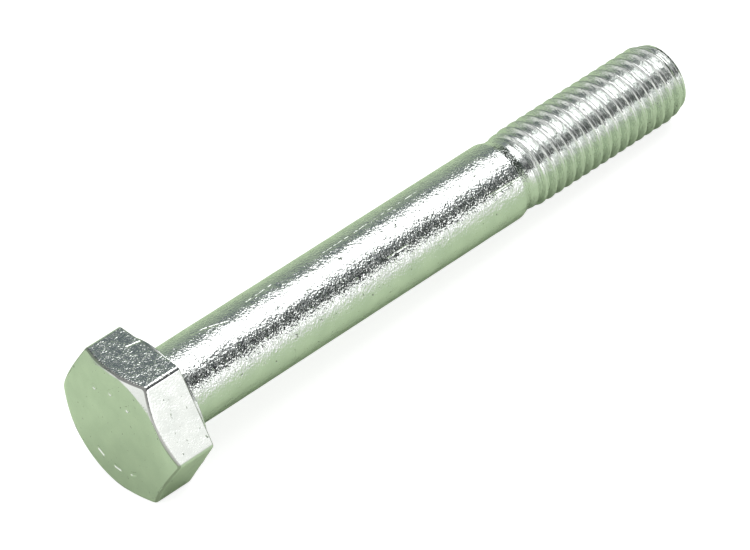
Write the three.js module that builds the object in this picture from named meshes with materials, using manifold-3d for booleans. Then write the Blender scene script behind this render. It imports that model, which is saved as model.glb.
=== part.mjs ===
// Hexagon head bolt, M10 x 80, property class 8.8 proportions, partly threaded, zinc plated.
//
// Units are millimetres. The bolt lies on its side: +X runs from the crown of the head towards the
// threaded point, +Z is square to one wrench flat, and the origin is the centre of the crown face.
// The real bolt is forged in one piece, so the meshes below are its named sections. Each section is
// one closed solid, and it meets its neighbour on a plane square to X. Only the washer face is a
// ring, and it sits round the core that the shank grows from.

import * as THREE from 'three';
import { mergeVertices } from 'three/addons/utils/BufferGeometryUtils.js';
import Module from 'manifold-3d';

const wasm = await Module();
wasm.setup();

// Head
const boltLength = 80; // from the bearing face to the point
const headHeight = 6.4; // from the crown face to the bearing face
const acrossFlats = 17;
const headCornerRadius = 0.6; // rounding of the six edges between the flats
const crownDiameter = 16; // flat circle left inside the chamfer
const crownChamferAngle = THREE.MathUtils.degToRad(30);
const washerFaceDiameter = 16.8;
const washerFaceThickness = 0.4;
const washerFaceBevel = 0.1; // at the edge of the bearing face
const washerRimDraft = 0.2; // how much smaller the rim is where it leaves the hexagon

// Plain shank
const shankDiameter = 10;
const underheadRadius = 0.4; // fillet between the bearing face and the shank
const shoulderLength = 1.4; // rounded step from the shank down to the rolled blank
const blankDiameter = 9.2; // plain neck at which the thread starts

// Thread, M10 x 1.5, right hand
const pitch = 1.5;
const threadedLength = 26; // from the neck to the point
const crestDiameter = 9.9;
const rootDiameter = 8.2;
const crestWidth = 0.2;
const rootWidth = 0.35;
const crestRunIn = pitch / 2; // length over which the crests rise out of the neck
const rootRunIn = pitch * 2; // length over which the grooves sink to full depth
const pointDiameter = 8.7; // flat end inside the end chamfer
const pointLength = 1.8; // length of the end chamfer

// Shallow generic marks, pressed into the crown
const markDepth = 0.15;
const barWidth = 0.5;
const pipDiameter = 0.8;
const markRingRadius = 5.5; // from the axis to the middle of each mark
const markSpacing = 30; // degrees between marks
const markBarLength = 1.4;

// Roundness
const headSegments = 96;
const shankSegments = 72;
const threadSegments = 36; // per turn
const cornerSegments = 3;
const markSegments = 4;

// Stations along X
const hexEnd = headHeight - washerFaceThickness;
const bearingFace = headHeight;
const shankStart = bearingFace + underheadRadius;
const pointEnd = headHeight + boltLength;
const threadStart = pointEnd - threadedLength;
const shoulderStart = threadStart - shoulderLength;
const fullThreadStart = threadStart + rootRunIn;
const fullThreadEnd = pointEnd - pointLength;

const shankRadius = shankDiameter / 2;
const coreRadius = shankRadius + underheadRadius;
const crestRadius = crestDiameter / 2;
const rootRadius = rootDiameter / 2;
const blankRadius = blankDiameter / 2;

const zincPlate = { color: 0xb9c4b2, metalness: 1.0 };

function sectionMaterial(roughness) {
  return new THREE.MeshStandardMaterial({ ...zincPlate, roughness });
}

// ---------------------------------------------------------------- geometry and solids

// LatheGeometry turns about its Y axis. This lays that axis along +X.
const latheToBolt = new THREE.Matrix4().makeBasis(
  new THREE.Vector3(0, 0, 1),
  new THREE.Vector3(1, 0, 0),
  new THREE.Vector3(0, 1, 0),
);

// ExtrudeGeometry draws in X and Y and pushes along Z. This pushes along +X instead.
const extrudeToBolt = new THREE.Matrix4().makeBasis(
  new THREE.Vector3(0, 1, 0),
  new THREE.Vector3(0, 0, 1),
  new THREE.Vector3(1, 0, 0),
);

// A body of revolution about the bolt's axis. The outline is a list of [station, radius].
function turned(outline, segments) {
  const points = outline.map(([station, radius]) => new THREE.Vector2(radius, station));
  return new THREE.LatheGeometry(points, segments).applyMatrix4(latheToBolt);
}

// A flat shape in the bolt's Y and Z, pushed along X from one station to another.
function extruded(shape, from, to, curveSegments) {
  const options = { depth: to - from, bevelEnabled: false, curveSegments };
  return new THREE.ExtrudeGeometry(shape, options).applyMatrix4(extrudeToBolt).translate(from, 0, 0);
}

function solidOf(geometry) {
  const bare = new THREE.BufferGeometry().setAttribute('position', geometry.getAttribute('position'));
  bare.setIndex(geometry.getIndex());
  const merged = mergeVertices(bare);
  const corners = merged.getIndex().array;
  const triVerts = [];
  for (let i = 0; i < corners.length; i += 3) {
    const [a, b, c] = corners.slice(i, i + 3);
    const collapsed = a === b || b === c || c === a;
    if (!collapsed) triVerts.push(a, b, c);
  }
  const vertProperties = merged.getAttribute('position').array;
  return new wasm.Manifold(
    new wasm.Mesh({ numProp: 3, vertProperties, triVerts: new Uint32Array(triVerts) }),
  );
}

function geometryOf(solid) {
  const { vertProperties, triVerts } = solid.getMesh();
  const geometry = new THREE.BufferGeometry();
  geometry.setAttribute('position', new THREE.BufferAttribute(vertProperties, 3));
  geometry.setIndex(new THREE.BufferAttribute(triVerts, 1));
  geometry.computeVertexNormals();
  return geometry;
}

// A section is a named mesh, made from geometry or from a solid.
function section(name, shape, roughness) {
  const geometry = shape.isBufferGeometry ? shape : geometryOf(shape);
  const mesh = new THREE.Mesh(geometry, sectionMaterial(roughness));
  mesh.name = name;
  return mesh;
}

// ---------------------------------------------------------------- head

// Hexagon with rounded corners, with flats facing +Z and -Z.
function hexagonShape() {
  const shape = new THREE.Shape();
  const arcCentre = (acrossFlats / 2 - headCornerRadius) / Math.cos(Math.PI / 6);
  for (let corner = 0; corner < 6; corner += 1) {
    const angle = (corner * Math.PI) / 3;
    const y = arcCentre * Math.cos(angle);
    const z = arcCentre * Math.sin(angle);
    shape.absarc(y, z, headCornerRadius, angle - Math.PI / 6, angle + Math.PI / 6, false);
  }
  shape.closePath();
  return shape;
}

// A short bar with round ends, centred at a place on the crown and turned by an angle.
function barMark(y, z, length, angle) {
  const half = (length - barWidth) / 2;
  const shape = new THREE.Shape();
  shape.absarc(half, 0, barWidth / 2, -Math.PI / 2, Math.PI / 2, false);
  shape.absarc(-half, 0, barWidth / 2, Math.PI / 2, Math.PI * 1.5, false);
  shape.closePath();
  const geometry = extruded(shape, -1, markDepth, markSegments);
  return solidOf(geometry.rotateX(angle).translate(0, y, z));
}

function pipMark(y, z) {
  const shape = new THREE.Shape().absarc(0, 0, pipDiameter / 2, 0, Math.PI * 2, false);
  return solidOf(extruded(shape, -1, markDepth, markSegments).translate(0, y, z));
}

// A bar across the radius, at a radius and an angle in degrees.
function crossBar(radius, degrees, length) {
  const angle = THREE.MathUtils.degToRad(degrees);
  const y = radius * Math.cos(angle);
  const z = radius * Math.sin(angle);
  return barMark(y, z, length, angle + Math.PI / 2);
}

// Three equal cross bars below the centre and three equal pips above it, evenly spaced.
function crownMarks() {
  const marks = [];
  for (const degrees of [-markSpacing, 0, markSpacing]) {
    const angle = THREE.MathUtils.degToRad(90 + degrees);
    marks.push(crossBar(markRingRadius, degrees - 90, markBarLength));
    marks.push(pipMark(markRingRadius * Math.cos(angle), markRingRadius * Math.sin(angle)));
  }
  return marks;
}

function hexHead() {
  const prism = solidOf(extruded(hexagonShape(), -1, hexEnd, cornerSegments));
  const crownRadius = crownDiameter / 2;
  const rimRadius = acrossFlats * 0.6; // outside the corners
  const rimStation = (rimRadius - crownRadius) * Math.tan(crownChamferAngle);
  const crown = turned(
    [
      [0, 0],
      [0, crownRadius],
      [rimStation, rimRadius],
      [headHeight, rimRadius],
      [headHeight, 0],
    ],
    headSegments,
  );
  let head = prism.intersect(solidOf(crown));
  for (const mark of crownMarks()) head = head.subtract(mark);
  return head;
}

// A ring with a tapered rim. Its flat face is the bearing face.
function washerFace() {
  const radius = washerFaceDiameter / 2;
  return turned(
    [
      [hexEnd, coreRadius],
      [hexEnd, radius - washerRimDraft],
      [bearingFace - washerFaceBevel, radius],
      [bearingFace, radius - washerFaceBevel],
      [bearingFace, coreRadius],
      [hexEnd, coreRadius],
    ],
    headSegments,
  );
}

// ---------------------------------------------------------------- plain shank

// The core inside the washer face, and the fillet from it to the shank: a quarter circle, hollow
// side out.
function underheadFillet() {
  const outline = [
    [hexEnd, 0],
    [hexEnd, coreRadius],
  ];
  const steps = 4;
  for (let step = 0; step <= steps; step += 1) {
    const angle = (step / steps) * (Math.PI / 2);
    const station = bearingFace + underheadRadius * (1 - Math.cos(angle));
    outline.push([station, coreRadius - underheadRadius * Math.sin(angle)]);
  }
  outline.push([shankStart, 0]);
  return turned(outline, headSegments);
}

function plainShank() {
  return turned(
    [
      [shankStart, 0],
      [shankStart, shankRadius],
      [shoulderStart, shankRadius],
      [shoulderStart, 0],
    ],
    shankSegments,
  );
}

// The shoulder is one arc that leaves the shank smoothly and ends at the neck.
function shankShoulder() {
  const outline = [[shoulderStart, 0]];
  const drop = shankRadius - blankRadius;
  const arcRadius = (shoulderLength ** 2 + drop ** 2) / (2 * drop);
  const arcEnd = Math.asin(shoulderLength / arcRadius);
  const steps = 6;
  for (let step = 0; step < steps; step += 1) {
    const angle = (step / steps) * arcEnd;
    outline.push([
      shoulderStart + arcRadius * Math.sin(angle),
      shankRadius - arcRadius * (1 - Math.cos(angle)),
    ]);
  }
  outline.push([threadStart, blankRadius], [threadStart, 0]);
  return turned(outline, shankSegments);
}

// ---------------------------------------------------------------- thread

// One pitch of the thread form, from the start of a crest: [distance along X, full radius].
const threadForm = [
  [-crestWidth / 2, crestRadius],
  [crestWidth / 2, crestRadius],
  [(pitch - rootWidth) / 2, rootRadius],
  [(pitch + rootWidth) / 2, rootRadius],
];

// Radius after the run-in: the form grows out of the plain neck, crests first.
function runInRadius(station, fullRadius) {
  const length = fullRadius > blankRadius ? crestRunIn : rootRunIn;
  const grown = THREE.MathUtils.smoothstep(station, threadStart, threadStart + length);
  return THREE.MathUtils.lerp(blankRadius, fullRadius, grown);
}

// A rod with the thread wound on it, longer than the threaded length at both ends.
function threadedRod() {
  const rows = threadForm.length;
  const turnsBefore = 2;
  const turnsAfter = 1;
  const rodStart = threadStart - turnsBefore * pitch;
  const turns = turnsBefore + Math.ceil(threadedLength / pitch) + turnsAfter;
  const steps = turns * threadSegments;

  // The last row of one turn is the first row of the next.
  const pointAt = (step, row) => {
    if (row === rows) return pointAt(step + threadSegments, 0);
    const [offset, fullRadius] = threadForm[row];
    const station = rodStart + (pitch * step) / threadSegments + offset;
    const radius = runInRadius(station, fullRadius);
    const angle = (2 * Math.PI * (step % threadSegments)) / threadSegments;
    return [station, radius * Math.cos(angle), radius * Math.sin(angle)];
  };

  const corners = [];
  const face = (...points) => corners.push(...points.flat());
  for (let step = 0; step < steps; step += 1) {
    for (let row = 0; row < rows; row += 1) {
      const a = pointAt(step, row);
      const b = pointAt(step + 1, row);
      const c = pointAt(step + 1, row + 1);
      const d = pointAt(step, row + 1);
      face(a, b, c);
      face(a, c, d);
    }
  }

  // Fans to a point on the axis close the two ends.
  const startCentre = [rodStart, 0, 0];
  const endCentre = [rodStart + pitch * (turns + 1), 0, 0];
  for (let step = 0; step < threadSegments; step += 1) {
    face(pointAt(step + 1, 0), pointAt(step, 0), startCentre);
    face(pointAt(steps + step, 0), pointAt(steps + step + 1, 0), endCentre);
  }
  for (let row = 0; row < rows; row += 1) {
    face(pointAt(0, row), pointAt(0, row + 1), startCentre);
    face(pointAt(steps, row + 1), pointAt(steps, row), endCentre);
  }

  const geometry = new THREE.BufferGeometry();
  geometry.setAttribute('position', new THREE.Float32BufferAttribute(corners, 3));
  return solidOf(geometry);
}

// A plain disc around the rod, wider than the crests, which cuts out one stretch of it.
function stretch(from, to) {
  const radius = crestRadius * 1.5;
  const outline = [
    [from, 0],
    [from, radius],
    [to, radius],
    [to, 0],
  ];
  return solidOf(turned(outline, shankSegments));
}

// The last stretch, narrowing from just outside the crests to the flat end.
function pointEnvelope() {
  const outline = [
    [fullThreadEnd, 0],
    [fullThreadEnd, crestRadius + 0.05],
    [pointEnd, pointDiameter / 2],
    [pointEnd, 0],
  ];
  return solidOf(turned(outline, shankSegments));
}

// ---------------------------------------------------------------- assembly

const rod = threadedRod();

const bolt = new THREE.Group();
bolt.name = 'hex_bolt';
bolt.add(section('hex_head', hexHead(), 0.34));
bolt.add(section('washer_face', washerFace(), 0.36));
bolt.add(section('underhead_fillet', underheadFillet(), 0.32));
bolt.add(section('plain_shank', plainShank(), 0.28));
bolt.add(section('shank_shoulder', shankShoulder(), 0.3));
bolt.add(section('thread_run_in', rod.intersect(stretch(threadStart, fullThreadStart)), 0.32));
bolt.add(section('full_thread', rod.intersect(stretch(fullThreadStart, fullThreadEnd)), 0.32));
bolt.add(section('thread_point', rod.intersect(pointEnvelope()), 0.34));

export default bolt;
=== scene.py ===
"""Looks of a zinc-plated hexagon head bolt that lies on a pale table.

Each visible piece is a fine skin in place of one CAD section. The bolt lies along +X with the centre
of its crown at the origin. Lengths here are millimetres, as on a drawing, and become metres when a
mesh, lamp or camera is made.
"""

import math

import bpy
import numpy as np
from mathutils import Matrix, Vector


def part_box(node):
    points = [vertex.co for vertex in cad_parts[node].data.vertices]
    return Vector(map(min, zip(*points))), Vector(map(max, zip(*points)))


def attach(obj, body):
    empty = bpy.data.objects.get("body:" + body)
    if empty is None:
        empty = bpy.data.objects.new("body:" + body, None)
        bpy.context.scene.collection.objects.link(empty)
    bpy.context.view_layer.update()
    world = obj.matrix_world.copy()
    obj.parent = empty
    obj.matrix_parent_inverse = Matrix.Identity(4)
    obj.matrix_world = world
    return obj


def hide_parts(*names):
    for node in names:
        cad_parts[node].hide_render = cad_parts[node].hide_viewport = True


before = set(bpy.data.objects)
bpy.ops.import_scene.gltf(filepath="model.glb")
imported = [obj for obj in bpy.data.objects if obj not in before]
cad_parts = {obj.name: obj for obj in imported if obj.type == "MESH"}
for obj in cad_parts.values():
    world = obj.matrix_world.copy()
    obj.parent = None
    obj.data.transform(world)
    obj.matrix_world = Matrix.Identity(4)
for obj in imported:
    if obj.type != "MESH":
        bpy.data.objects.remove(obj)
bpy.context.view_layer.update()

MM = 0.001


def box_mm(node):
    low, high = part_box(node)
    return low / MM, high / MM


# ------------------------------------------------------------------ sizes, from the frame where it has them

hex_low, hex_high = box_mm("hex_head")
CROWN = hex_low.x
HEX_END = hex_high.x
HALF_FLATS = hex_high.z
BEARING = box_mm("washer_face")[1].x
WASHER_RADIUS = box_mm("washer_face")[1].z
CORE_RADIUS = box_mm("underhead_fillet")[1].z
SHANK_START, SHOULDER_START = (corner.x for corner in box_mm("plain_shank"))
SHANK_RADIUS = box_mm("plain_shank")[1].z
THREAD_START = box_mm("thread_run_in")[0].x
FULL_START, FULL_END = (corner.x for corner in box_mm("full_thread"))
POINT_END = box_mm("thread_point")[1].x
CREST_RADIUS = box_mm("full_thread")[1].z

CROWN_RADIUS = 8.0
CHAMFER = math.radians(30)
CORNER_RADIUS = 0.6
WASHER_DRAFT = 0.2
WASHER_BEVEL = 0.1
HEAD_OFFSET = (0.0, -0.193, -0.159)  # how far the head lies off the shank's axis
PITCH = 1.5
ROOT_RADIUS = 4.1
NECK_RADIUS = 4.6
CREST_FLAT = 0.2
POINT_RADIUS = 4.35


# ------------------------------------------------------------------ camera

LENS_MM = 214.4
SENSOR_MM = 36.0
CAMERA_AZIMUTH = -41.37  # this angle and the next two are degrees
CAMERA_ELEVATION = 40.19
CAMERA_ROLL = -3.18
CAMERA_DISTANCE = 509.12
CAMERA_AIM = Vector((38.57, -1.06, -0.94))


def view_axes(azimuth, elevation, roll):
    """The camera's right, up and backward directions. Azimuth 0 looks along +Y."""
    a = math.radians(azimuth)
    e = math.radians(elevation)
    back = Vector((math.sin(a) * math.cos(e), -math.cos(a) * math.cos(e), math.sin(e)))
    right = Vector((0, 0, 1)).cross(back).normalized()
    up = back.cross(right)
    turn = Matrix.Rotation(math.radians(roll), 3, back)
    return turn @ right, turn @ up, back


def add_camera():
    data = bpy.data.cameras.new("camera")
    data.lens = LENS_MM
    data.sensor_width = SENSOR_MM
    camera = bpy.data.objects.new("camera", data)
    bpy.context.scene.collection.objects.link(camera)
    right, up, back = view_axes(CAMERA_AZIMUTH, CAMERA_ELEVATION, CAMERA_ROLL)
    place = (CAMERA_AIM + back * CAMERA_DISTANCE) * MM
    turn = Matrix((right, up, back)).transposed().to_4x4()
    camera.matrix_world = Matrix.Translation(place) @ turn
    bpy.context.scene.camera = camera


# ------------------------------------------------------------------ arithmetic on arrays

def unit(vectors):
    return vectors / np.linalg.norm(vectors, axis=-1, keepdims=True)


def smooth_min(a, b, soft):
    """The smaller of two values, with the corner between them rounded over a width of soft."""
    near = np.clip(0.5 + 0.5 * (b - a) / soft, 0, 1)
    return b + (a - b) * near - soft * near * (1 - near)


def smooth_max(a, b, soft):
    return -smooth_min(-a, -b, soft)


def smooth_step(value, start, end):
    t = np.clip((value - start) / (end - start), 0, 1)
    return t * t * (3 - 2 * t)


def ripple(points, wavelength, seed, waves=10):
    """Smooth random unevenness, about -1 to 1, from plane waves in random directions."""
    rng = np.random.default_rng(seed)
    total = np.zeros(points.shape[:-1])
    for _ in range(waves):
        direction = unit(rng.normal(size=3)) * 2 * math.pi / (wavelength * rng.uniform(0.7, 1.6))
        total += np.sin(points @ direction + rng.uniform(0, 2 * math.pi))
    return total / math.sqrt(waves)


def grid_normals(points):
    """Outward normals of a grid whose columns go round the axis and whose rows go along it."""
    around = np.roll(points, -1, axis=1) - np.roll(points, 1, axis=1)
    along = np.empty_like(points)
    along[1:-1] = points[2:] - points[:-2]
    along[0] = points[1] - points[0]
    along[-1] = points[-1] - points[-2]
    return unit(np.cross(around, along))


def about_axis(station, radius, angle):
    """Points at stations along X and radii at angles from +Y towards +Z."""
    station, radius, angle = np.broadcast_arrays(station, radius, angle)
    return np.stack([station, radius * np.cos(angle), radius * np.sin(angle)], axis=-1)


# ------------------------------------------------------------------ meshes

def skin(name, points, normals, painted_edge_shade, coarse, material, slot, *nodes):
    """A closed piece from a grid of points: the rows become a tube, and a fan closes each end."""
    rows, columns = points.shape[:2]
    index = np.arange(rows * columns).reshape(rows, columns)
    beside = np.roll(index, -1, axis=1)
    quads = np.stack([index[:-1], beside[:-1], beside[1:], index[1:]], axis=-1).reshape(-1, 4)
    start, end = rows * columns, rows * columns + 1
    first = np.stack([beside[0], index[0], np.full(columns, start)], axis=-1)
    last = np.stack([index[-1], beside[-1], np.full(columns, end)], axis=-1)
    centres = np.stack([points[0].mean(axis=0), points[-1].mean(axis=0)])
    vertices = np.concatenate([points.reshape(-1, 3), centres]) * MM

    mesh = bpy.data.meshes.new(name)
    mesh.from_pydata(vertices.tolist(), [], quads.tolist() + first.tolist() + last.tolist())
    mesh.validate()
    flat_normals = normals.reshape(-1, 3)
    loop_normals = np.concatenate([
        flat_normals[quads.reshape(-1)],
        np.tile((-1.0, 0.0, 0.0), (columns * 3, 1)),
        np.tile((1.0, 0.0, 0.0), (columns * 3, 1)),
    ])
    mesh.shade_smooth()
    mesh.normals_split_custom_set(loop_normals.tolist())
    # The first attribute carries painted shade for rounded edges and crests; coarse sets the grain's depth.
    for label, values in (("painted_edge_shade", painted_edge_shade), ("coarse", coarse)):
        layer = mesh.attributes.new(label, "FLOAT", "POINT")
        values = np.concatenate([values.reshape(-1), [values[0, 0], values[-1, 0]]])
        layer.data.foreach_set("value", values.astype(np.float32))
    mesh.materials.append(material)

    piece = bpy.data.objects.new(name, mesh)
    bpy.context.scene.collection.objects.link(piece)
    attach(piece, "root")
    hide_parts(*nodes)


# ------------------------------------------------------------------ head

# Columns and rows of the grid. The rows run from the crown over the flats to the washer face.
FLAT_COLUMNS = 64
CORNER_COLUMNS = 12
CROWN_ROWS = 80
CROWN_EDGE_ROWS = 14
CHAMFER_ROWS = 6
EDGE_ROWS = 6
FLAT_ROWS = 22
REAR_ROWS = 3
WASHER_RIM_ROWS = 6
WASHER_FACE_ROWS = 20

# Pressed marks on the crown.
MARK_DEPTH = 0.11
MARK_RING_RADIUS = 5.5  # from the axis to the middle of each mark
MARK_SPACING = 30  # degrees between marks
MARK_BAR_LENGTH = 1.4
MARK_BAR_WIDTH = 0.5
MARK_SOFTNESS = 0.14
PIP_DIAMETER = 0.8

# How far each rounded edge reaches from its sharp corner.
CROWN_EDGE_INNER = 1.5
CROWN_EDGE_OUTER = 0.45
CHAMFER_END_REACH = 0.3
REAR_REACH = 0.16
WASHER_REACH = 0.1

CENTRE_RADIUS = 0.05  # of the small ring that the crown's middle fan closes
UNEVENNESS = 0.006
HEAD_GRAIN = 0.12  # depth of the grain as a share of the top flat's
WASHER_GRAIN = 0.25

# One sixth of the hexagon, the centre of a corner's arc, and half of the angle that the arc takes.
SECTOR = math.radians(60)
ARC_CENTRE = (HALF_FLATS - CORNER_RADIUS) / math.cos(SECTOR / 2)
HALF_ARC = math.atan2(
    CORNER_RADIUS * math.sin(SECTOR / 2), ARC_CENTRE + CORNER_RADIUS * math.cos(SECTOR / 2)
)


def head_angles():
    """Angles round the head, close together where the corners turn."""
    corner = np.linspace(-HALF_ARC, HALF_ARC, CORNER_COLUMNS, endpoint=False)
    flat = np.linspace(HALF_ARC, SECTOR - HALF_ARC, FLAT_COLUMNS, endpoint=False)
    one = np.concatenate([corner, flat])
    return np.concatenate([one + SECTOR * k for k in range(6)])


def hexagon_radius(angle):
    """Radius of the rounded hexagon at each angle. Its corners lie at 0, 60, 120 degrees and so on."""
    from_corner = (angle + SECTOR / 2) % SECTOR - SECTOR / 2
    flat = HALF_FLATS / np.cos(SECTOR / 2 - np.abs(from_corner))
    inside = np.maximum(CORNER_RADIUS**2 - (ARC_CENTRE * np.sin(from_corner)) ** 2, 0)
    rounded = ARC_CENTRE * np.cos(from_corner) + np.sqrt(inside)
    return np.where(np.abs(from_corner) < HALF_ARC, rounded, flat)


def rounded_corner(before, corner, after, reach, reach_after=None, rows=EDGE_ROWS):
    """Points on a curve that cuts the corner, starting and ending at a reach from it."""
    start = corner + unit(before - corner) * reach
    end = corner + unit(after - corner) * (reach_after or reach)
    t = np.linspace(0, 1, rows)[:, None, None]
    return (1 - t) ** 2 * start + 2 * t * (1 - t) * corner + t**2 * end


def between(start, end, rows):
    """Evenly spaced points strictly between two places."""
    t = np.linspace(0, 1, rows + 2)[1:-1, None, None]
    return start + (end - start) * t


def bar_depth(y, z, centre, length, angle, width=MARK_BAR_WIDTH):
    """How deep a round-ended bar is pressed at (y, z): 1 inside it, 0 outside, soft at the edge."""
    along = (y - centre[0]) * math.cos(angle) + (z - centre[1]) * math.sin(angle)
    across = -(y - centre[0]) * math.sin(angle) + (z - centre[1]) * math.cos(angle)
    half = max(length - width, 0) / 2
    distance = np.hypot(np.maximum(np.abs(along) - half, 0), across) - width / 2
    return 1 - smooth_step(distance, -MARK_SOFTNESS / 2, MARK_SOFTNESS / 2)


def cross_bar(y, z, radius, degrees, length):
    """A bar across the radius, at a radius and an angle in degrees."""
    angle = math.radians(degrees)
    place = (radius * math.cos(angle), radius * math.sin(angle))
    return bar_depth(y, z, place, length, angle + math.pi / 2)


def crown_marks(y, z):
    """Generic marks, as in the CAD: three equal cross bars and three equal pips, evenly spaced."""
    marks = []
    for degrees in (-MARK_SPACING, 0, MARK_SPACING):
        angle = math.radians(90 + degrees)
        pip = (MARK_RING_RADIUS * math.cos(angle), MARK_RING_RADIUS * math.sin(angle))
        marks.append(cross_bar(y, z, MARK_RING_RADIUS, degrees - 90, MARK_BAR_LENGTH))
        marks.append(bar_depth(y, z, pip, PIP_DIAMETER, 0.0, width=PIP_DIAMETER))
    return np.maximum.reduce(marks)


def make_head(material):
    angle = head_angles()
    rim = hexagon_radius(angle)

    def ring(station, radius):
        """One meridian point per column, as (station, radius)."""
        station, radius = np.broadcast_arrays(station, radius + np.zeros_like(angle))
        return np.stack([station, radius], axis=-1)

    centre = ring(CROWN, CENTRE_RADIUS)
    crown_edge = ring(CROWN, CROWN_RADIUS)
    chamfer_end = ring(CROWN + (rim - CROWN_RADIUS) * math.tan(CHAMFER), rim)
    rear_edge = ring(HEX_END, rim)
    rear_inner = ring(HEX_END, WASHER_RADIUS - WASHER_DRAFT)

    crown_curve = rounded_corner(
        centre, crown_edge, chamfer_end, CROWN_EDGE_INNER, CROWN_EDGE_OUTER, CROWN_EDGE_ROWS
    )
    chamfer_curve = rounded_corner(crown_edge, chamfer_end, rear_edge, CHAMFER_END_REACH)
    rear_curve = rounded_corner(chamfer_end, rear_edge, rear_inner, REAR_REACH)
    meridian = np.concatenate([
        centre[None],
        between(centre, crown_curve[0], CROWN_ROWS),
        crown_curve,
        between(crown_curve[-1], chamfer_curve[0], CHAMFER_ROWS),
        chamfer_curve,
        between(chamfer_curve[-1], rear_curve[0], FLAT_ROWS),
        rear_curve,
        between(rear_curve[-1], rear_inner, REAR_ROWS),
        rear_inner[None],
    ])
    points = about_axis(meridian[..., 0], meridian[..., 1], angle) + HEAD_OFFSET
    outward = grid_normals(points)

    crown = smooth_step(-outward[..., 0], 0.9, 0.99)
    marks = crown_marks(points[..., 1] - HEAD_OFFSET[1], points[..., 2] - HEAD_OFFSET[2])
    depth = MARK_DEPTH * crown * marks
    uneven = UNEVENNESS * ripple(points, 6.0, seed=3)
    points = points + outward * (uneven - depth)[..., None]
    points[..., 0] = np.maximum(points[..., 0], CROWN)
    normals = grid_normals(points)
    normals[0] = (-1, 0, 0)

    # Painted shade: rows on the rounded chamfer and rear edges get the dark edge colour, standing for the
    # dark surroundings they reflect.
    rows = np.arange(len(meridian))
    curved = np.zeros(len(meridian))
    chamfer_row = 1 + CROWN_ROWS + CROWN_EDGE_ROWS + CHAMFER_ROWS
    rear_row = chamfer_row + EDGE_ROWS + FLAT_ROWS
    for start in (chamfer_row, rear_row):
        curved[(rows > start) & (rows < start + EDGE_ROWS - 1)] = 1
    painted_edge_shade = np.broadcast_to(curved[:, None], points.shape[:2]).copy()
    coarse = HEAD_GRAIN + (1 - HEAD_GRAIN) * smooth_step(normals[..., 2], 0.8, 0.95)
    skin("head_skin", points, normals, painted_edge_shade, coarse, material, "zinc_head", "hex_head")


def make_washer_face(material):
    angle = head_angles()
    outline = [
        (HEX_END, CORE_RADIUS),
        (HEX_END, WASHER_RADIUS - WASHER_DRAFT),
        (BEARING - WASHER_BEVEL, WASHER_RADIUS),
        (BEARING, WASHER_RADIUS - WASHER_BEVEL),
        (BEARING, CORE_RADIUS),
    ]
    ring = [np.array((s, r)) + np.zeros((len(angle), 2)) for s, r in outline]
    rim_curve = rounded_corner(ring[1], ring[2], ring[3], WASHER_REACH)
    edge_curve = rounded_corner(ring[2], ring[3], ring[4], WASHER_REACH)
    meridian = np.concatenate([
        ring[0][None],
        ring[1][None],
        between(ring[1], rim_curve[0], WASHER_RIM_ROWS),
        rim_curve,
        edge_curve,
        between(edge_curve[-1], ring[4], WASHER_FACE_ROWS),
        ring[4][None],
    ])
    points = about_axis(meridian[..., 0], meridian[..., 1], angle) + HEAD_OFFSET
    normals = grid_normals(points)
    # No painted edge shade on the washer face.
    painted_edge_shade = np.zeros(points.shape[:2])
    coarse = np.full(points.shape[:2], WASHER_GRAIN)
    skin("washer_face_skin", points, normals, painted_edge_shade, coarse, material, "zinc_head", "washer_face")


# ------------------------------------------------------------------ shank and thread

ROD_COLUMNS = 192

# Rows of each stretch, from the head to the end.
CORE_ROWS = 4
FILLET_ROWS = 10
SHANK_ROWS = 260
SHOULDER_ROWS = 24
RUN_IN_ROWS = 61
THREAD_ROWS = 447
POINT_ROWS = 38

THREAD_FLANK = math.radians(30)  # between a flank and the plane square to the axis
ROOT_ROUNDING = 0.16
CREST_ROUNDING = 0.12
POINT_ROUNDING = 0.1
LEAST_ROUNDING = 0.01
SHOULDER_MARGIN = 0.1  # between each end of the shoulder and its cone
SHOULDER_ROUNDING = 0.05
FINE_UNEVENNESS = 0.002
CREST_SHADE = 0.15  # share of the dark edge colour on the crests: painted shade standing for the dark strokes they reflect
CREST_SHADE_DEPTH = 0.1  # how far below the crests it reaches


def thread_radius(station, angle):
    """Radius of the rolled thread, which grows out of the neck at its start and is cut off at its end."""
    turns = (station - THREAD_START) / PITCH - angle / (2 * math.pi)
    from_crest = np.abs(turns - np.round(turns)) * PITCH
    flank = CREST_RADIUS - (from_crest - CREST_FLAT / 2) / math.tan(THREAD_FLANK)
    grown = smooth_step(station, THREAD_START, THREAD_START + 2 * PITCH)
    crest = NECK_RADIUS + (CREST_RADIUS - NECK_RADIUS) * grown
    root = NECK_RADIUS + (ROOT_RADIUS - NECK_RADIUS) * grown
    above_root = smooth_max(flank, root, ROOT_ROUNDING * grown + LEAST_ROUNDING)
    radius = smooth_min(crest, above_root, CREST_ROUNDING * grown + LEAST_ROUNDING)
    point_slope = (CREST_RADIUS - POINT_RADIUS) / (POINT_END - FULL_END)
    point = POINT_RADIUS + (POINT_END - station) * point_slope
    return smooth_min(radius, point, POINT_ROUNDING)


def shoulder_radius(station):
    """A cone with rounded ends that leads from the shank down to the neck."""
    drop = SHANK_RADIUS - NECK_RADIUS
    slope = drop / (THREAD_START - SHOULDER_START - 2 * SHOULDER_MARGIN)
    cone = SHANK_RADIUS - (station - SHOULDER_START - SHOULDER_MARGIN) * slope
    return smooth_max(smooth_min(SHANK_RADIUS, cone, SHOULDER_ROUNDING), NECK_RADIUS, SHOULDER_ROUNDING)


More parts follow.
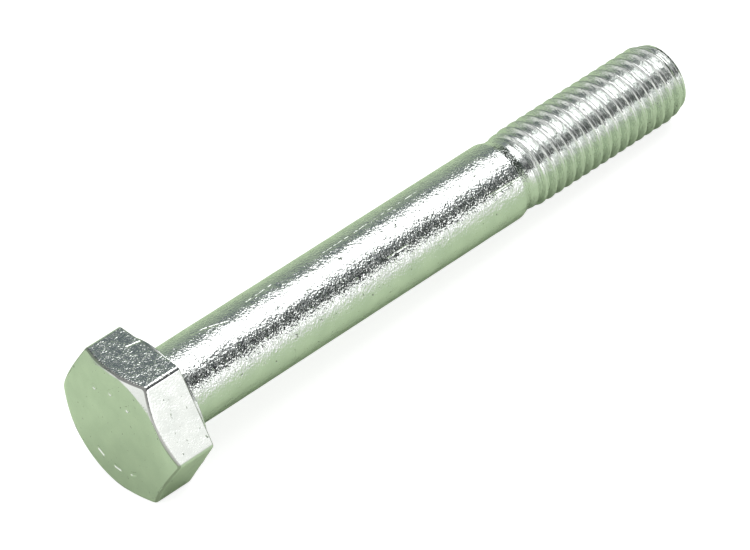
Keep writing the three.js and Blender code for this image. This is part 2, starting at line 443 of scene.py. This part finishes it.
def rod_rows():
    """Stations of the rod's rows, and for each section its first row and the row after its last."""
    fillet = np.linspace(0, math.pi / 2, FILLET_ROWS)
    core = CORE_RADIUS - SHANK_RADIUS
    stretches = {
        "underhead_fillet": np.concatenate([
            np.linspace(HEX_END, BEARING, CORE_ROWS)[:-1],
            BEARING + core * (1 - np.cos(fillet)),
        ]),
        "plain_shank": np.linspace(SHANK_START, SHOULDER_START, SHANK_ROWS),
        "shank_shoulder": np.linspace(SHOULDER_START, THREAD_START, SHOULDER_ROWS),
        "thread_run_in": np.linspace(THREAD_START, FULL_START, RUN_IN_ROWS),
        "full_thread": np.linspace(FULL_START, FULL_END, THREAD_ROWS),
        "thread_point": np.linspace(FULL_END, POINT_END, POINT_ROWS),
    }
    stations = [stretches["underhead_fillet"][:1]]
    spans = {}
    count = 1
    for name, rows in stretches.items():
        spans[name] = (count - 1, count - 1 + len(rows))
        stations.append(rows[1:])
        count += len(rows) - 1
    return np.concatenate(stations), spans


def make_rod(shank_material, thread_material):
    station, spans = rod_rows()
    station = station[:, None]
    angle = (np.arange(ROD_COLUMNS) * 2 * math.pi / ROD_COLUMNS)[None, :]

    core = CORE_RADIUS - SHANK_RADIUS
    into_fillet = np.clip(1 - (station - BEARING) / core, -1, 1)
    fillet = CORE_RADIUS - core * np.sqrt(np.clip(1 - into_fillet**2, 0, 1))
    smooth = np.where(station < SHANK_START, fillet, shoulder_radius(station))
    smooth = np.where(station < BEARING, CORE_RADIUS, smooth)
    threaded = thread_radius(station, angle)
    radius = np.where(station <= THREAD_START, smooth, threaded)
    points = about_axis(station, radius, angle)
    outward = grid_normals(points)
    uneven = UNEVENNESS * ripple(points, 4.0, seed=5) + FINE_UNEVENNESS * ripple(points, 1.2, seed=6)
    points = points + outward * uneven[..., None]
    points[..., 0] = np.clip(points[..., 0], HEX_END, POINT_END)
    normals = grid_normals(points)
    # Painted shade: the crests get a share of the dark edge colour, standing for the dark strokes they
    # reflect.
    near_crest = smooth_step(radius, CREST_RADIUS - CREST_SHADE_DEPTH, CREST_RADIUS)
    painted_edge_shade = CREST_SHADE * near_crest * (station > THREAD_START)
    coarse = np.ones(points.shape[:2])

    for name, span in spans.items():
        rows = slice(*span)
        threaded_part = name in ("thread_run_in", "full_thread", "thread_point")
        material = thread_material if threaded_part else shank_material
        slot = "zinc_thread" if threaded_part else "zinc_shank"
        skin(
            name + "_skin", points[rows], normals[rows], painted_edge_shade[rows], coarse[rows],
            material, slot, name,
        )


# ------------------------------------------------------------------ materials

DULL_ZINC = (0.66, 0.69, 0.67, 1)
BRIGHT_ZINC = (0.80, 0.82, 0.80, 1)
# Painted shade: a dark colour for rounded edges and crests, standing for the dark surroundings they reflect.
EDGE_SHADE_COLOUR = (0.42, 0.43, 0.41, 1)
PIT_COLOUR = (0.30, 0.32, 0.30, 1)


def add(tree, kind, inputs=None, **settings):
    """A node with its settings, and with its sockets set or linked by name or number."""
    made = tree.nodes.new(kind)
    for name, value in settings.items():
        setattr(made, name, value)
    for socket, value in (inputs or {}).items():
        if isinstance(value, bpy.types.NodeSocket):
            tree.links.new(value, made.inputs[socket])
        else:
            made.inputs[socket].default_value = value
    return made


def noise(tree, where, scale, detail=2.0):
    """Noise whose cells are as many millimetres long on each axis as scale says."""
    inverse = tuple(1 / length for length in scale)
    cells = add(tree, "ShaderNodeVectorMath", {0: where, 1: inverse}, operation="MULTIPLY")
    sockets = {"Vector": cells.outputs["Vector"], "Scale": 1.0, "Detail": detail}
    return add(tree, "ShaderNodeTexNoise", sockets).outputs["Fac"]


def remap(tree, value, low, high, new_low, new_high):
    made = add(
        tree, "ShaderNodeMapRange",
        {"Value": value, "From Min": low, "From Max": high, "To Min": new_low, "To Max": new_high},
    )
    return made.outputs["Result"]


def math_node(tree, operation, a, b):
    return add(tree, "ShaderNodeMath", {0: a, 1: b}, operation=operation).outputs[0]


def scratch_depth(tree, mm, start, end, width):
    """1 on the line between two places and 0 beyond half a width from it, with soft sides."""
    along = Vector(end) - Vector(start)
    from_start = add(tree, "ShaderNodeVectorMath", {0: mm, 1: start}, operation="SUBTRACT").outputs["Vector"]
    share = add(
        tree, "ShaderNodeVectorMath", {0: from_start, 1: along / along.length_squared},
        operation="DOT_PRODUCT",
    ).outputs["Value"]
    share = add(tree, "ShaderNodeClamp", {"Value": share}).outputs["Result"]
    foot = add(tree, "ShaderNodeVectorMath", {0: along, "Scale": share}, operation="SCALE").outputs["Vector"]
    away = add(tree, "ShaderNodeVectorMath", {0: from_start, 1: foot}, operation="DISTANCE").outputs["Value"]
    return remap(tree, away, width / 2, 0.0, 0.0, 1.0)


def on_shank(station, degrees):
    angle = math.radians(degrees)
    return Vector((station, SHANK_RADIUS * math.cos(angle), SHANK_RADIUS * math.sin(angle)))


def zinc(name, grain, grain_depth, roughness, scratches=()):
    """Zinc plating: pale metal with fine grain, cloudy patches, small pits and scratches, with painted
    shade: a dark colour on rounded edges and crests that stands for the dark surroundings they reflect.
    """
    material = bpy.data.materials.new(name)
    material.use_nodes = True
    tree = material.node_tree
    tree.nodes.clear()
    metres = add(tree, "ShaderNodeTexCoord").outputs["Object"]
    mm = add(tree, "ShaderNodeVectorMath", {0: metres, 1: (1000, 1000, 1000)}, operation="MULTIPLY")
    mm = mm.outputs["Vector"]

    clouds = noise(tree, mm, (2.2, 2.2, 2.2), detail=3.0)
    grains = noise(tree, mm, grain, detail=1.0)
    pits = remap(tree, noise(tree, mm, (0.5, 0.5, 0.5)), 0.70, 0.76, 0.0, 1.0)
    clouded = remap(tree, clouds, 0.3, 0.7, -0.1, 0.45)
    shade = add(tree, "ShaderNodeMath", {0: grains, 1: 0.35, 2: clouded}, operation="MULTIPLY_ADD")
    tint = add(
        tree, "ShaderNodeMix",
        {"Factor": shade.outputs[0], 6: DULL_ZINC, 7: BRIGHT_ZINC},
        data_type="RGBA",
    )
    pitted = add(
        tree, "ShaderNodeMix", {"Factor": pits, 6: tint.outputs[2], 7: PIT_COLOUR}, data_type="RGBA"
    )
    # Painted shade: the edge attribute mixes the dark edge colour into rounded edges and crests.
    painted_edge_shade = add(tree, "ShaderNodeAttribute", attribute_name="painted_edge_shade").outputs["Fac"]
    edge_shaded = add(
        tree, "ShaderNodeMix", {"Factor": painted_edge_shade, 6: pitted.outputs[2], 7: EDGE_SHADE_COLOUR}, data_type="RGBA"
    )
    patches = noise(tree, mm, (0.9, 0.9, 0.9))
    depth = remap(tree, patches, 0.3, 0.7, 0.6, 1.3)
    coarse = add(tree, "ShaderNodeAttribute", attribute_name="coarse").outputs["Fac"]
    depth = math_node(tree, "MULTIPLY", depth, coarse)
    height = math_node(tree, "MULTIPLY", grains, depth)
    height = math_node(tree, "SUBTRACT", height, pits)
    for start, end, width in scratches:
        scratch = scratch_depth(tree, mm, start, end, width)
        broken = math_node(tree, "MULTIPLY", scratch, remap(tree, patches, 0.35, 0.6, 0.2, 1.2))
        height = math_node(tree, "SUBTRACT", height, broken)
    bump = add(
        tree, "ShaderNodeBump", {"Height": height, "Strength": 1.0, "Distance": grain_depth * MM}
    )
    shader = add(
        tree, "ShaderNodeBsdfPrincipled",
        {
            "Base Color": edge_shaded.outputs[2],
            "Metallic": 1.0,
            "Roughness": remap(tree, patches, 0.3, 0.7, roughness - 0.03, roughness + 0.05),
            "Normal": bump.outputs["Normal"],
        },
    )
    add(tree, "ShaderNodeOutputMaterial", {"Surface": shader.outputs["BSDF"]})
    return material


def matt(name, colour, glow=0.0):
    material = bpy.data.materials.new(name)
    material.use_nodes = True
    shader = material.node_tree.nodes["Principled BSDF"]
    shader.inputs["Base Color"].default_value = (*colour, 1)
    shader.inputs["Roughness"].default_value = 0.9
    shader.inputs["Emission Color"].default_value = (1, 1, 1, 1)
    shader.inputs["Emission Strength"].default_value = glow
    return material


def fading_card():
    """Pale green paper that fades to white away from the bolt, towards -Y."""
    material = matt("card_green", GREEN_CARD)
    tree = material.node_tree
    metres = add(tree, "ShaderNodeTexCoord").outputs["Object"]
    side = add(tree, "ShaderNodeSeparateXYZ", {"Vector": metres}).outputs["Y"]
    fade = remap(tree, side, -0.015, -0.12, 0.0, 1.0)
    paper = add(
        tree, "ShaderNodeMix", {"Factor": fade, 6: (*GREEN_CARD, 1), 7: (*WHITE_CARD, 1)},
        data_type="RGBA",
    )
    tree.links.new(paper.outputs[2], tree.nodes["Principled BSDF"].inputs["Base Color"])
    return material


# ------------------------------------------------------------------ table, light and world

TABLE_SIZE = 4000.0
TABLE_MIDDLE = 40.0  # along the bolt's axis, from the crown
TABLE_GAP = 0.05  # under the bolt
TABLE_COLOUR = (0.4, 0.4, 0.4)
TABLE_GLOW = 0.8
CARD_HEIGHT = 0.01  # above the table
SOFTBOX_POWER = 1.9
FILL_POWER = 1.5
BRIGHT_WALL = (2.8, 2.8, 2.8)
WHITE_WALL = (1.2, 1.2, 1.17)
LOW_WALL = (1.05, 1.05, 1.02)
GREY_WALL = (0.41, 0.49, 0.38)
GAP = (0.05, 0.05, 0.055)
FAR_GAP = (0.17, 0.20, 0.21)
DARK_END = (0.06, 0.07, 0.06)
CEILING = (0.6, 0.6, 0.6)
GREEN_CARD = (0.54, 0.67, 0.44)
WHITE_CARD = (0.95, 0.95, 0.93)
NEAR_WALL = (
    (-0.05, LOW_WALL), (0.0, LOW_WALL), (0.12, WHITE_WALL), (0.2, WHITE_WALL), (0.26, BRIGHT_WALL),
    (0.31, BRIGHT_WALL), (0.36, GAP), (0.68, GAP), (0.78, CEILING),
)
BACK_WALL = (
    (-0.05, LOW_WALL), (0.0, LOW_WALL), (0.12, WHITE_WALL), (0.18, WHITE_WALL), (0.35, CEILING),
)
FAR_WALL = (
    (-0.05, (1.0, 1.0, 1.0)), (0.0, GREY_WALL), (0.48, GREY_WALL), (0.54, FAR_GAP), (0.72, FAR_GAP),
    (0.78, CEILING),
)


def flat_sheet(name, height, material):
    """A plane just under the bolt, tilted to follow the line from the head's flat to the last thread."""
    rise = (HALF_FLATS - HEAD_OFFSET[2] - CREST_RADIUS) / (FULL_END - HEX_END)
    half = TABLE_SIZE / 2
    corners = []
    for x, y in ((-half, -half), (half, -half), (half, half), (-half, half)):
        z = HEAD_OFFSET[2] - HALF_FLATS - TABLE_GAP + height + (TABLE_MIDDLE + x - HEX_END) * rise
        corners.append(Vector((TABLE_MIDDLE + x, y, z)) * MM)
    mesh = bpy.data.meshes.new(name)
    mesh.from_pydata(corners, [], [(0, 1, 2, 3)])
    mesh.materials.append(material)
    sheet = bpy.data.objects.new(name, mesh)
    bpy.context.scene.collection.objects.link(sheet)
    return sheet


def make_table():
    """A pale table. The metal mirrors a pale green card on it, which the camera doesn't see."""
    table = flat_sheet("table", 0.0, matt("table_white", TABLE_COLOUR, TABLE_GLOW))
    table.visible_glossy = False
    card = flat_sheet("card", CARD_HEIGHT, fading_card())
    card.visible_camera = False
    card.visible_diffuse = False
    card.visible_shadow = False


def softbox(name, place, aim, size, power):
    """A rectangular lamp at a place, facing an aim. Places and sizes are in millimetres."""
    data = bpy.data.lights.new(name, "AREA")
    data.shape = "RECTANGLE"
    data.size = size[0] * MM
    data.size_y = size[1] * MM
    data.energy = power
    lamp = bpy.data.objects.new(name, data)
    bpy.context.scene.collection.objects.link(lamp)
    place = Vector(place)
    facing = (Vector(aim) - place).to_track_quat("-Z", "Y").to_matrix().to_4x4()
    lamp.matrix_world = Matrix.Translation(place * MM) @ facing
    return lamp


def make_lights():
    softbox("overhead_softbox", (370, 28, 500), (370, 28, 0), (650, 418), SOFTBOX_POWER)
    fill = softbox("front_fill", (-450, 50, 350), (0, 0, -8), (400, 400), FILL_POWER)
    fill.visible_glossy = False


def blend_stops(tree, value, stops):
    """A colour that follows value (-1 to 1) through stops of (value, colour)."""
    height = add(tree, "ShaderNodeMapRange", {"Value": value, "From Min": -1.0, "From Max": 1.0})
    ramp = add(tree, "ShaderNodeValToRGB", {"Fac": height.outputs["Result"]})
    elements = ramp.color_ramp.elements
    while len(elements) < len(stops):
        elements.new(0.5)
    for element, (place, colour) in zip(elements, stops):
        element.position = (place + 1) / 2
        element.color = (*colour, 1)
    return ramp.outputs["Color"]


def make_world():
    """A studio: a white wall before the bolt, a grey one behind it, and a dark gap below the softbox."""
    world = bpy.data.worlds.new("studio")
    bpy.context.scene.world = world
    world.use_nodes = True
    tree = world.node_tree
    tree.nodes.clear()
    direction = add(tree, "ShaderNodeTexCoord").outputs["Generated"]
    axes = add(tree, "ShaderNodeSeparateXYZ", {"Vector": direction})
    height = axes.outputs["Z"]
    behind = remap(tree, axes.outputs["X"], 0.1, -0.3, 0.0, 1.0)
    near = add(
        tree, "ShaderNodeMix",
        {
            "Factor": behind,
            6: blend_stops(tree, height, NEAR_WALL),
            7: blend_stops(tree, height, BACK_WALL),
        },
        data_type="RGBA",
    ).outputs[2]
    far = blend_stops(tree, height, FAR_WALL)
    side = add(tree, "ShaderNodeVectorMath", {0: direction, 1: (0.9, 1.0, 0.0)}, operation="DOT_PRODUCT")
    blend = add(
        tree, "ShaderNodeMapRange",
        {"Value": side.outputs["Value"], "From Min": -0.15, "From Max": 0.25},
    )
    walls = add(
        tree, "ShaderNodeMix", {"Factor": blend.outputs["Result"], 6: near, 7: far}, data_type="RGBA"
    )
    end = remap(tree, axes.outputs["X"], 0.70, 0.80, 0.0, 1.0)
    room = add(
        tree, "ShaderNodeMix", {"Factor": end, 6: walls.outputs[2], 7: (*DARK_END, 1)}, data_type="RGBA"
    )
    background = add(tree, "ShaderNodeBackground", {"Color": room.outputs[2]})
    add(tree, "ShaderNodeOutputWorld", {"Surface": background.outputs["Background"]})


# ------------------------------------------------------------------ the scene

SHANK_SCRATCHES = (
    (on_shank(13.0, 76), on_shank(15.0, 84), 0.34),
    (on_shank(15.0, 84), on_shank(17.2, 94), 0.34),
    (on_shank(20.8, 82), on_shank(24.8, 79.5), 0.2),
    (on_shank(31.8, 81.6), on_shank(39.5, 80), 0.14),
    (on_shank(38.6, 79.6), on_shank(47.5, 78.2), 0.14),
    (on_shank(38.3, 138.5), on_shank(41.3, 138), 0.2),
    (on_shank(53.8, 141.5), on_shank(59.5, 143), 0.18),
    (on_shank(54.6, 145.5), on_shank(59.3, 144.5), 0.16),
)
HEAD_SCRATCHES = (
    ((4.2, 1.5, 8.35), (6.0, 1.1, 8.35), 0.35),
)

add_camera()
head_zinc = zinc("zinc_head", (0.23, 0.23, 0.23), 0.055, 0.09, HEAD_SCRATCHES)
shank_zinc = zinc("zinc_shank", (0.19, 0.3, 0.3), 0.085, 0.1, SHANK_SCRATCHES)
thread_zinc = zinc("zinc_thread", (0.12, 0.6, 0.6), 0.05, 0.19)
make_head(head_zinc)
make_washer_face(head_zinc)
make_rod(shank_zinc, thread_zinc)
make_table()
make_lights()
make_world()
bpy.context.scene.view_settings.view_transform = "Standard"
